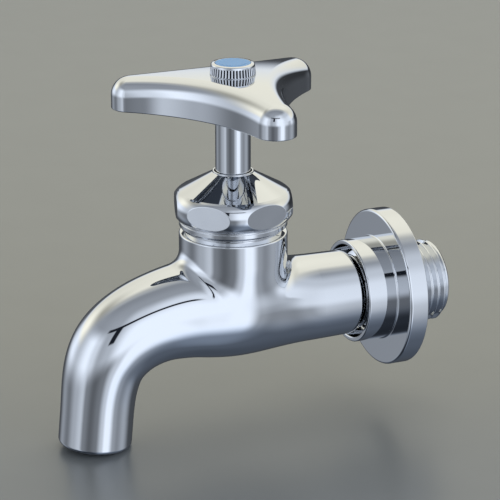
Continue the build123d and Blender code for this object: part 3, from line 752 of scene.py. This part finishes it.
def crowned_top(points, turns, wall_start, steps, rows):
    """The top of the handle over its plan: wall, round and crown. The round is a ball's path that touches
    the upright wall and the crown's sphere, so each normal swings from the wall's to the sphere's. Inside
    it the sphere runs to the seat's edge and the flat seat to the spindle's hole."""
    outward = np.stack([np.cos(turns), np.sin(turns), 0 * turns], axis=-1)
    plan = points - handle_round * outward[:, :2]
    lift = np.sqrt((crown_radius - handle_round) ** 2 - (plan ** 2).sum(axis=1))
    crown_way = np.column_stack([plan, lift]) / (crown_radius - handle_round)
    centre = np.column_stack([plan, crown_centre + lift])
    swing = np.arccos((outward * crown_way).sum(axis=1))[:, None]
    share = np.linspace(0, 1, steps)[:, None, None]
    ways = (np.sin((1 - share) * swing) * outward + np.sin(share * swing) * crown_way) / np.sin(swing)
    bend = centre + handle_round * ways
    wall = np.column_stack([points, np.full(len(points), wall_start)])[None]
    foot = bend[-1, :, :2]
    toward = foot / np.linalg.norm(foot, axis=1, keepdims=True)
    share = np.linspace(0, 1, rows)[:, None, None]
    flat = foot + (seat_radius * toward - foot) * share
    rise = np.sqrt(crown_radius ** 2 - (flat ** 2).sum(axis=-1, keepdims=True))
    crown = np.concatenate([flat, crown_centre + rise], axis=-1)
    crown_ways = np.concatenate([flat, rise], axis=-1) / crown_radius
    seat = np.stack([radius * toward for radius in (seat_radius, 5.0, boss_hole)])
    seat = np.concatenate([seat, np.full(seat.shape[:2] + (1,), handle_seat)], axis=-1)
    upright = np.broadcast_to([0.0, 0.0, 1.0], seat.shape)
    side, side_ways = np.concatenate([wall, bend]), np.concatenate([outward[None], ways])
    return [
        (side, side_ways, grid_quads(steps + 1, len(turns))),
        (crown, crown_ways, grid_quads(rows, len(turns))),
        (seat, upright, grid_quads(3, len(turns))),
    ]


handle_points, handle_ways = handle_outline(36, 30)
shell = rounded([
    (-ceiling_inset, shell_ceiling, 0), (-shell_wall, shell_ceiling, 2.4),
    (-shell_wall, handle_bottom, 0.25), (0, handle_bottom, 0.35), (0, wall_split, 0),
], segments=10)
shell_patch = around(shell, handle_ways, handle_points)
top_patches = crowned_top(handle_points, handle_ways, wall_split, 20, 14)
boss_turn = np.arctan2(top_patches[2][0][0, :, 1], top_patches[2][0][0, :, 0])
boss = rounded([
    (boss_radius, shell_ceiling, 0), (boss_radius, handle_bottom, 0.3), (boss_mouth, handle_bottom, 0.2),
    (boss_mouth, boss_shoulder, 0), (boss_hole, boss_shoulder, 0), (boss_hole, handle_seat, 0),
])
boss_patch = around(boss, boss_turn)
share = np.linspace(0, 1, 6)[:, None, None]
ceiling = boss_patch[0][0] + (shell_patch[0][0] - boss_patch[0][0]) * share
ceiling_patch = (ceiling, np.broadcast_to([0.0, 0.0, -1.0], ceiling.shape), grid_quads(6, len(boss_turn)))
handle = surface("handle_three_armed", [
    on_spindle(patch) for patch in [shell_patch, boss_patch, ceiling_patch, *top_patches]
])
# Die-cast zinc alloy is smoother than a sand casting, but it is buffed over broad soft faces.
chrome_on_handle = chromed("chrome_plate_on_die_casting", plate, swell=8e-6, haze=0.03)
handle.data.materials.append(chrome_on_handle)
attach(handle, "handle_group")
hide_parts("handle")


# Spindle. Turned brass stem: serrated at the top for the handle's boss, with a coarse thread
# at the foot that lifts it, and a blind hole there in which the jumper's stem rides.
spindle_turn = ring_angles(96)
stem_radius, screw_root, screw_start, screw_end = 4.4, 7.75, 7.05, 19.05
socket_radius, socket_top = 2.95, 18.65
spindle_foot = rounded([
    (0, socket_top, 0), (socket_radius, socket_top, 0), (socket_radius, screw_start, 0.2),
    (screw_root, screw_start, 0),
])
teeth, tooth_middle, tooth_half = 20, 3.7, 0.2
stem_top, stem_top_bevel, stem_top_width = 60.05, 0.3, 1.95
spindle_stem = rounded([
    (screw_root, screw_end, 0), (stem_radius, screw_end, 0.3), (stem_radius, boss_shoulder, 0.2),
    (tooth_middle - tooth_half, boss_shoulder, 0),
])
tooth_turn = ring_angles(teeth * 8)
tooth_height = np.array([boss_shoulder, stem_top - stem_top_bevel, stem_top, stem_top])[:, None]
tooth_shrink = np.array([0.0, 0.0, stem_top_bevel, stem_top_width])[:, None]
tooth_radius = tooth_middle + tooth_half * np.clip(1.5 * np.cos(teeth * tooth_turn), -1, 1) - tooth_shrink
tooth_points = np.stack([
    tooth_radius * np.cos(tooth_turn), tooth_radius * np.sin(tooth_turn), tooth_height + 0 * tooth_radius,
], axis=-1)
tooth_face = np.array([1.0, 0.8, 0.3, 0.0])[:, None]
tooth_normals = np.stack([
    tooth_face * np.cos(tooth_turn), tooth_face * np.sin(tooth_turn), 1 - tooth_face + 0 * tooth_turn,
], axis=-1)
spindle = surface("spindle_rising_stem", [on_spindle(patch) for patch in (
    around(spindle_foot, spindle_turn),
    thread(
        major=8.8, depth=1.05, pitch=2.5, crest=0.95, flank=0.30,
        first=screw_start, start=screw_start, end=screw_end, steps=96, run_in=1.75, run_out=1.75,
    ),
    around(spindle_stem, spindle_turn),
    (tooth_points, tooth_normals, grid_quads(4, len(tooth_turn))),
)])
spindle.data.materials.append(chrome_on_turned)
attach(spindle, "handle_group")
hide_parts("spindle")


# Cap screw. Turned brass: a short head with a straight knurl, chamfered above it, a shallow
# recess on top for the index disc, and a thin threaded shank that pulls the handle down.
cap_top, recess_depth = 63.75, 0.6
head_radius, head_top_radius, recess_radius, disc_foot = 5.65, 5.4, 4.45, cap_top - recess_depth
shank_foot, shank_neck, shank_root = 51.35, 1.9, 1.57
flutes, flute_points, flute_most = 43, 9, 0.42
knurl_lean_in = 0.2
knurl_low, knurl_high, knurl_run = 0.3, 2.0, 0.15
flute_share = np.tile(np.linspace(-1, 1, flute_points), flutes)
cap_turn = (np.repeat(np.arange(flutes), flute_points) + flute_share / 2) * 2 * math.pi / flutes
flute_rows = handle_seat + np.array([
    knurl_low - knurl_run, knurl_low, knurl_low, knurl_high, knurl_high, knurl_high + knurl_run,
])[:, None]
flute_depth = flute_most * np.array([0.0, 1.0, 1.0, 1.0, 1.0, 0.0])[:, None]
groove = 1 - np.cos(flute_share * math.pi / 2)
groove_slope = flutes / 2 * np.sin(flute_share * math.pi / 2)
knurl_side = head_radius - knurl_lean_in * np.array([0.0, 0.0, 0.0, 1.0, 1.0, 1.0])[:, None]
knurl_radius = knurl_side - flute_depth * groove
knurl_points = np.stack([
    knurl_radius * np.cos(cap_turn), knurl_radius * np.sin(cap_turn), flute_rows + 0 * knurl_radius,
], axis=-1)
knurl_lean = flute_depth * groove_slope / knurl_radius
end_tilt = 0.9 * np.array([-1.0, -1.0, 0.0, 0.0, 1.0, 1.0])[:, None]
knurl_tilt = end_tilt * groove + knurl_lean_in / (knurl_high - knurl_low)
knurl_normals = np.stack([
    np.cos(cap_turn) - knurl_lean * np.sin(cap_turn),
    np.sin(cap_turn) + knurl_lean * np.cos(cap_turn),
    knurl_tilt,
], axis=-1)
knurl_normals /= np.linalg.norm(knurl_normals, axis=-1, keepdims=True)
head_foot = rounded([
    (shank_neck, handle_seat, 0), (head_radius, handle_seat, 0.1),
    (head_radius, handle_seat + knurl_low - knurl_run, 0),
])
head_top = rounded([
    (head_radius - knurl_lean_in, handle_seat + knurl_high + knurl_run, 0),
    (head_top_radius, cap_top - 0.12, 0.45), (recess_radius, cap_top, 0.08),
    (recess_radius, disc_foot, 0), (0, disc_foot, 0),
])
shank_turn = ring_angles(40)
shank_end = rounded([(0, shank_foot, 0), (shank_root, shank_foot, 0)])
knurl_quads = grid_quads(len(flute_rows), len(cap_turn))
# Of the steps across a flute's ridge, the two next to the groove on each side are in it.
groove_steps = np.isin(np.arange(flute_points), (0, 1, flute_points - 3, flute_points - 2))
in_groove = np.tile(groove_steps, flutes * (len(flute_rows) - 1))
cap_screw = surface("cap_screw_knurled", [on_spindle(patch) for patch in (
    around(head_foot, cap_turn),
    (knurl_points, knurl_normals, knurl_quads[~in_groove]),
    (knurl_points, knurl_normals, knurl_quads[in_groove]),
    around(head_top, cap_turn),
    thread(
        major=2.0, depth=0.43, pitch=0.7, crest=0.10, flank=0.2483,
        first=shank_foot, start=shank_foot, end=handle_seat, steps=40, run_in=1.0, run_out=3.0,
    ),
    around(shank_end, shank_turn),
)], [0, 0, 1, 0, 0, 0])
cap_screw.data.materials.append(chrome_on_turned)
# The plate is thin and never buffed at the bottom of the knurl, so it stays dull; its dark colour there is
# painted shade.
dull_plate_with_painted_shade = chromed("chrome_plate_in_knurl_groove_painted_shade", "#63666B", swell=2e-6, haze=0.22)
cap_screw.data.materials.append(dull_plate_with_painted_shade)
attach(cap_screw, "handle_group")
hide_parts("cap_screw")


# Index disc. Moulded blue plastic, pressed into the screw's head, its edge left a little
# round by the mould and its face faintly sunk in the middle.
disc_turn = ring_angles(96)
index_radius, dish_radius, dish_floor_radius, dish_depth = 4.4, 3.6, 3.2, 0.04
disc_profile = rounded([
    (0, disc_foot, 0), (index_radius, disc_foot, 0.05), (index_radius, cap_top, 0.14),
    (dish_radius, cap_top, 0), (dish_floor_radius, cap_top - dish_depth, 3.0), (0, cap_top - dish_depth, 0),
])
index_disc = surface("index_disc_blue", [on_spindle(around(disc_profile, disc_turn))])
# The mould's grain shows as the faintest clouds, drawn coarser than it is.
blue_plastic, tree, shader = material("blue_moulded_plastic")
grain = mottled(tree, shader, 1.11, 4.0, "#4586C0", "#5293CB")
bump = node(tree, "ShaderNodeBump", {"Height": grain, "Strength": 0.5, "Distance": 2e-6})
tree.links.new(bump.outputs["Normal"], shader.inputs["Normal"])
shader.inputs["Roughness"].default_value = 0.22
index_disc.data.materials.append(blue_plastic)
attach(index_disc, "handle_group")
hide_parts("index_disc")


# Pieces inside the tap: the gland's packing and ring, and the jumper with its washer, small
# ring and nut. They keep the frame's own meshes, and get the finish that each has in brass
# or rubber. Cut brass shows fine rings round the spindle's axis, one for each feed of the
# lathe's tool in millimetres, and is a little tarnished in patches.
tool_feed = 0.262
brass, tree, shader = material("brass_as_turned")
place = node(tree, "ShaderNodeTexCoord").outputs["Object"]
centred = node(tree, "ShaderNodeMapping", {"Vector": place, "Location": (0.0, -spindle_y / 1000, 0.0)})
# At a scale of one the wave texture's rings are 2 pi / 20 of a metre apart.
rings = node(tree, "ShaderNodeTexWave", {
    "Vector": centred.outputs["Vector"], "Scale": 1000 / tool_feed * 2 * math.pi / 20,
    "Distortion": 0.6, "Detail": 2.0,
}, wave_type="RINGS", rings_direction="Z")
mottled(tree, shader, 3.85, 5.0, "#B08D49", "#CDAA62")
rough = node(tree, "ShaderNodeMapRange", {"Value": rings.outputs["Fac"], "To Min": 0.22, "To Max": 0.38})
bump = node(tree, "ShaderNodeBump", {"Height": rings.outputs["Fac"], "Strength": 0.4, "Distance": 4e-6})
tree.links.new(bump.outputs["Normal"], shader.inputs["Normal"])
tree.links.new(rough.outputs["Result"], shader.inputs["Roughness"])
shader.inputs["Metallic"].default_value = 1.0

# Moulded rubber is matte, with soft clouds of bloom.
rubber, tree, shader = material("black_moulded_rubber")
bloom = mottled(tree, shader, 2.38, 6.0, "#1B1B1C", "#2A2A2B")
bump = node(tree, "ShaderNodeBump", {"Height": bloom, "Strength": 0.5, "Distance": 1e-5})
tree.links.new(bump.outputs["Normal"], shader.inputs["Normal"])
shader.inputs["Roughness"].default_value = 0.6

for finish, names in (
    (brass, ("gland_washer", "valve_jumper", "clamp_washer", "jumper_nut")),
    (rubber, ("gland_packing", "seat_rubber")),
):
    for name in names:
        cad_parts[name].data.materials.clear()
        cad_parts[name].data.materials.append(finish)


# Studio. A grey table under the spout's mouth, and for the chrome a room in the world's shader:
# dim floor with bright pools, walls with bright panels on both sides of the camera, cream light
# behind and above, and thin dark gaps over and between the panels. The camera sees plain grey.
table_mesh = bpy.data.meshes.new("table")
table_half = 3.0
table_mesh.from_pydata([
    (-table_half, -table_half, 0), (table_half, -table_half, 0),
    (table_half, table_half, 0), (-table_half, table_half, 0),
], [], [(0, 1, 2, 3)])
table = bpy.data.objects.new("table", table_mesh)
table.location = (0.0, 0.0, cad_box[0][2])
table.visible_glossy = False
bpy.context.scene.collection.objects.link(table)


def fade(tree, value, start, end, first, then, kind="MIX"):
    """One colour that gives way to another as a value goes from start to end, whichever is the higher,
    with a smooth step between. In the kind MULTIPLY the first is tinted by the other instead."""
    reach = {"Value": value, "From Min": start, "From Max": end}
    share = node(tree, "ShaderNodeMapRange", reach, interpolation_type="SMOOTHSTEP").outputs["Result"]
    inputs = {"Factor": share, 6: first, 7: then}
    return node(tree, "ShaderNodeMix", inputs, data_type="RGBA", blend_type=kind).outputs[2]


# Satin paint, faintly cloudy. Toward the camera it is tinted a little cooler: painted daylight in the paint's
# colour, not a lamp.
cloud_size = 16.67
table_paint, tree, shader = material("grey_satin_table")
place = node(tree, "ShaderNodeTexCoord").outputs["Object"]
clouds = node(tree, "ShaderNodeTexNoise", {"Vector": place, "Scale": 1000 / cloud_size, "Detail": 3.0})
paint = node(tree, "ShaderNodeMix", {
    "Factor": clouds.outputs["Fac"], 6: colour("#747570"), 7: colour("#797A75"),
}, data_type="RGBA").outputs[2]
level_back = (view_back.x, view_back.y, 0.0)
nearer = node(tree, "ShaderNodeVectorMath", {0: place, 1: level_back}, operation="DOT_PRODUCT")
# Painted daylight: the paint is multiplied by a cool tint on the side toward the camera.
paint = fade(tree, nearer.outputs["Value"], -0.06, 0.10, paint, colour("#E8EEFF"), "MULTIPLY")
tree.links.new(paint, shader.inputs["Base Color"])
shader.inputs["Roughness"].default_value = 0.3
table_mesh.materials.append(table_paint)


def panels(tree, value, low, high, stops):
    """Brightness along a value that runs from low to high, each stop a place and a brightness."""
    reach = {"Value": value, "From Min": low, "From Max": high}
    share = node(tree, "ShaderNodeMapRange", reach).outputs["Result"]
    made = node(tree, "ShaderNodeValToRGB", {"Fac": share})
    made.color_ramp.interpolation = "EASE"
    elements = made.color_ramp.elements
    while len(elements) < len(stops):
        elements.new(1.0)
    for element, (place, bright) in zip(elements, stops):
        element.position = (place - low) / (high - low)
        element.color = (bright, bright, bright, 1.0)
    return made.outputs["Color"]


def dark_gap(tree, room, sides):
    """The room with a thin dark gap in it. Each side is a value, its start, its end and half the width of
    its soft edge, and the gap is where every value lies between its own two."""
    share = 1.0
    for value, start, end, edge in sides:
        for outside, inside in ((start - edge, start + edge), (end + edge, end - edge)):
            reach = {"Value": value, "From Min": outside, "From Max": inside}
            part = node(tree, "ShaderNodeMapRange", reach, interpolation_type="SMOOTHSTEP").outputs["Result"]
            share = node(tree, "ShaderNodeMath", {0: share, 1: part}, operation="MULTIPLY").outputs["Value"]
    inputs = {"Factor": share, 6: room, 7: colour("#1C1F24")}
    return node(tree, "ShaderNodeMix", inputs, data_type="RGBA").outputs[2]


world = bpy.data.worlds.new("studio")
bpy.context.scene.world = world
world.use_nodes = True
tree = world.node_tree
ray = node(tree, "ShaderNodeTexCoord").outputs["Generated"]
height = node(tree, "ShaderNodeSeparateXYZ", {"Vector": ray}).outputs["Z"]
across, ahead = [
    node(tree, "ShaderNodeVectorMath", {0: ray, 1: tuple(way)}, operation="DOT_PRODUCT").outputs["Value"]
    for way in (view_right, way_out(view_turn, 0.0))
]
turn = node(tree, "ShaderNodeMath", {0: across, 1: ahead}, operation="ARCTAN2").outputs["Value"]
rise = node(tree, "ShaderNodeMath", {0: height}, operation="ARCSINE").outputs["Value"]
turn, rise = [
    node(tree, "ShaderNodeMath", {0: angle, 1: math.degrees(1)}, operation="MULTIPLY").outputs["Value"]
    for angle in (turn, rise)
]

# Brightness by direction. A turn is in degrees from the camera, to its right where positive,
# and a rise in degrees above level. Each layer takes over from the one below over a range of rises.
floor_near = panels(tree, turn, -180, 180, [
    (-180, 0.05), (-150, 0.07), (-122, 0.30), (-98, 0.18), (-70, 0.42), (-50, 0.58), (-38, 0.22), (-18, 0.12),
    (2, 0.19), (20, 0.62), (30, 1.0), (40, 1.0), (58, 0.34), (72, 0.26), (95, 0.38), (130, 0.07), (180, 0.05),
])
floor_under = panels(tree, turn, -180, 180, [
    (-180, 0.075), (-90, 0.03), (-20, 0.04), (32, 0.26), (90, 0.12), (180, 0.075),
])
walls = panels(tree, turn, -180, 180, [
    (-180, 0.74), (-150, 0.66), (-118, 0.95), (-92, 0.56), (-58, 1.0), (-42, 0.74), (-26, 0.42), (-10, 0.5),
    (14, 1.0), (32, 1.0), (60, 0.76), (90, 0.84), (130, 0.68), (180, 0.74),
])
behind_low = panels(tree, turn, -180, 180, [
    (-180, 0.08), (-155, 0.14), (-132, 0.9), (-120, 1.0), (60, 1.0), (80, 0.6), (95, 1.0), (112, 0.5),
    (130, 0.05), (150, 0.05), (180, 0.08),
])
ceiling = panels(tree, turn, -180, 180, [
    (-180, 0.78), (-150, 0.72), (-110, 0.34), (-70, 0.31), (-20, 0.38), (4, 0.66), (28, 0.82), (60, 0.6),
    (105, 0.6), (150, 0.8), (180, 0.78),
])
overhead = panels(tree, ahead, -1, 1, [
    (-1, 0.8), (-0.34, 0.76), (-0.12, 0.42), (0.06, 0.27), (0.4, 0.33), (1, 0.33),
])
room = fade(tree, rise, -55, -30, floor_under, floor_near)
low_walls = fade(tree, rise, 13, 7, walls, behind_low, "MULTIPLY")
room = fade(tree, rise, -16, 2, room, low_walls)
room = fade(tree, rise, 24, 44, room, ceiling)
room = fade(tree, rise, 46, 66, room, overhead)
# A thin gap over the panels near the camera, and one that runs down from it between them.
room = dark_gap(tree, room, [(rise, 37.5, 41.5, 0.8), (turn, -34, 27, 4)])
room = dark_gap(tree, room, [(rise, 19.0, 40.0, 2.0), (turn, -17, -7, 1.5)])
# Daylight is bluish, most so from the floor, and what lies high and behind the tap is cream.
cool = fade(tree, rise, -60, -20, colour("#CFE2FF"), colour("#E9F2FF"))
creamy = fade(tree, ahead, 0.1, -0.35, cool, colour("#FFFDEE"))
tint = fade(tree, rise, 8, 20, cool, creamy)
tinted = {"Factor": 1.0, 6: room, 7: tint}
room = node(tree, "ShaderNodeMix", tinted, data_type="RGBA", blend_type="MULTIPLY").outputs[2]
# Past the table's edge the camera sees the plain backdrop.
seen = node(tree, "ShaderNodeLightPath").outputs["Is Camera Ray"]
backdrop = {"Factor": seen, 6: room, 7: colour("#7F807B")}
room = node(tree, "ShaderNodeMix", backdrop, data_type="RGBA").outputs[2]
shade = tree.nodes["Background"]
tree.links.new(room, shade.inputs["Color"])
shade.inputs["Strength"].default_value = 1.4
bpy.context.scene.view_settings.view_transform = "Standard"


# One large soft lamp behind and above throws the tap's shadow toward the camera. The chrome
# doesn't mirror it, as the room already holds the light that is seen there.
card_distance = 1.0
card_data = bpy.data.lights.new("card_over", "AREA")
card_data.shape = "RECTANGLE"
card_data.size, card_data.size_y = 0.8, 0.8
card_data.energy = 4.0
card_data.color = colour("#FFF8EA")[:3]
card_way = way_out(view_turn + math.radians(150), math.radians(60))
card = bpy.data.objects.new("card_over", card_data)
card.location = view_aim + card_distance * card_way
card.rotation_euler = card_way.to_track_quat("Z", "Y").to_euler()
card.visible_camera = False
card.visible_glossy = False
bpy.context.scene.collection.objects.link(card)
